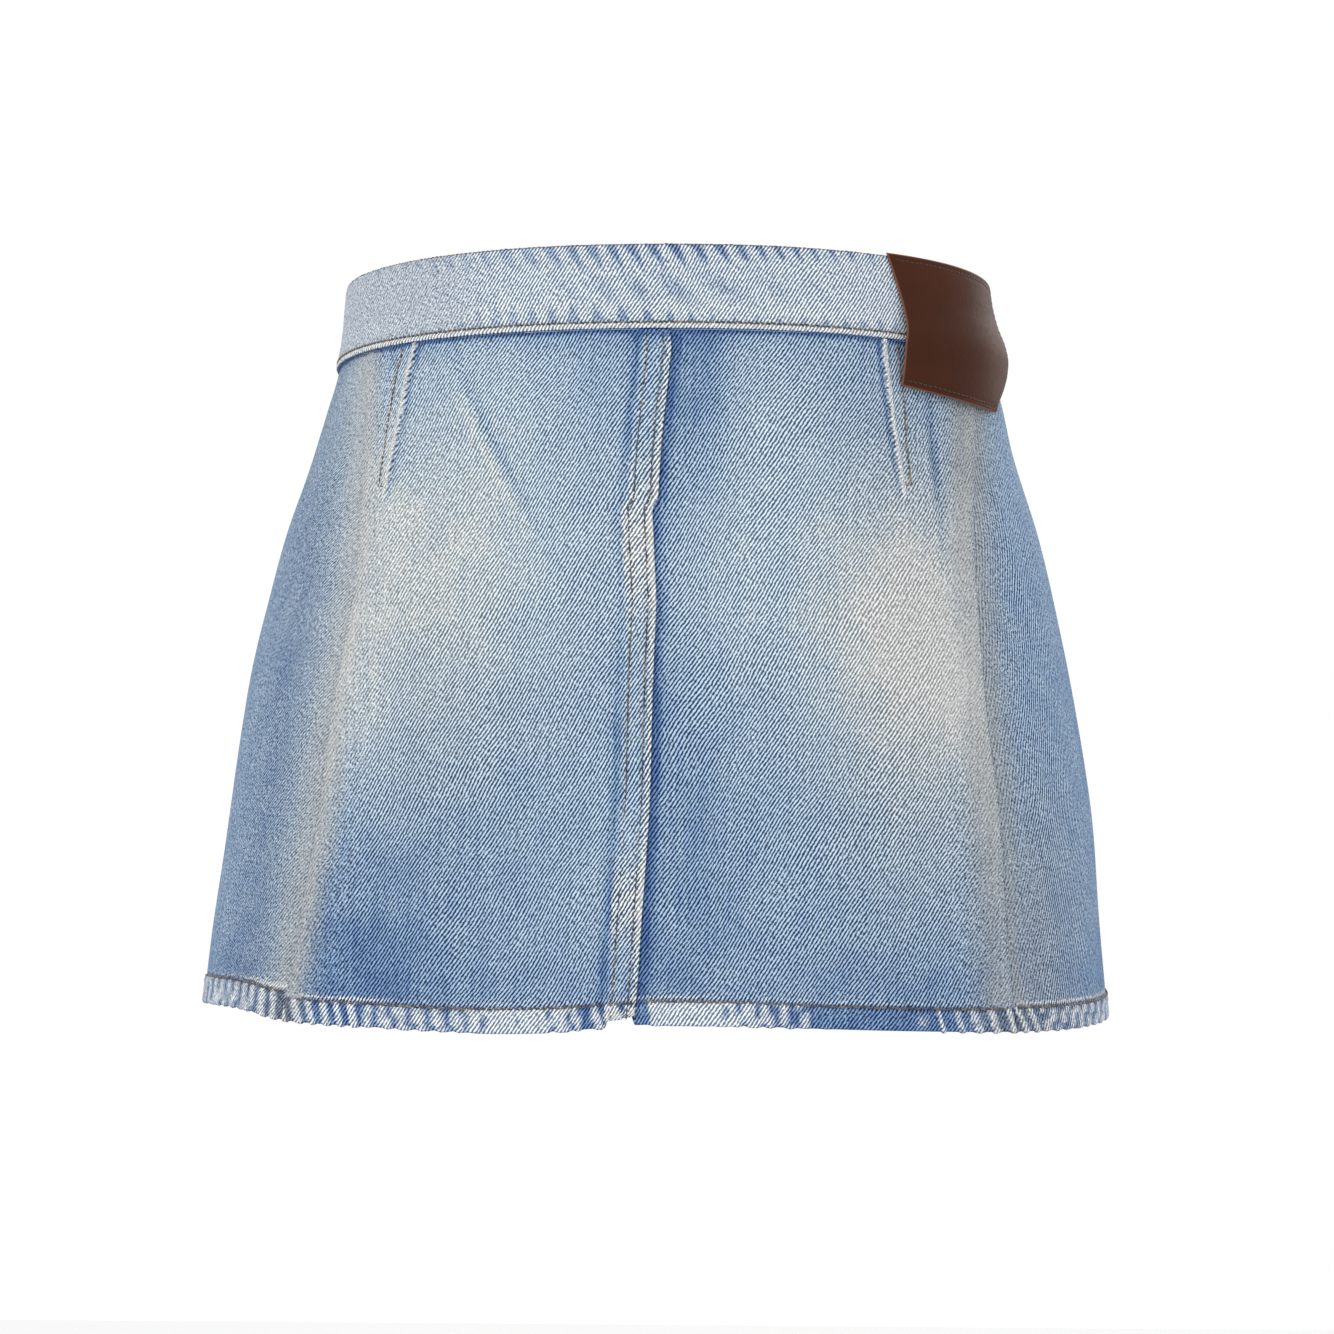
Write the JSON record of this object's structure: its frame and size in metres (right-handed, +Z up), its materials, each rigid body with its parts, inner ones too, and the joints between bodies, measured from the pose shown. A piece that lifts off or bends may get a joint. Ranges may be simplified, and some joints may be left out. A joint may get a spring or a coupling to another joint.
{
  "type": "denim skirt",
  "caption": "Short A-line denim skirt in a worn, hollow form, with a straight waistband, fly front, back darts, lapped centre seams and a leather hip patch.",
  "frame": {"origin": "centre of the waistband at its mid-height, where the wearer's waist holds it", "axes": "+Z up; the wearer faces -Y, so the centre back seam is towards +Y; +X is the wearer's left, across the skirt's width"},
  "size_m": [0.4193, 0.2578, 0.3487],
  "materials": {
    "denim": "faded light blue cotton twill, stone washed",
    "band_denim": "nearly bleached cotton twill with blue roping along its seams",
    "thread": "gold-brown topstitch thread",
    "leather": "smooth chestnut, satin, lighter cut edges",
    "button_metal": "aged brass shank button, plain face"
  },
  "bodies": {
    "root": {"waistband": "band_denim", "back_left": "denim", "back_right": "denim", "front_left": "denim", "front_right": "denim", "fly_shield": "denim", "leather_patch": "leather", "waist_button": "button_metal"}
  },
  "joints": []
}
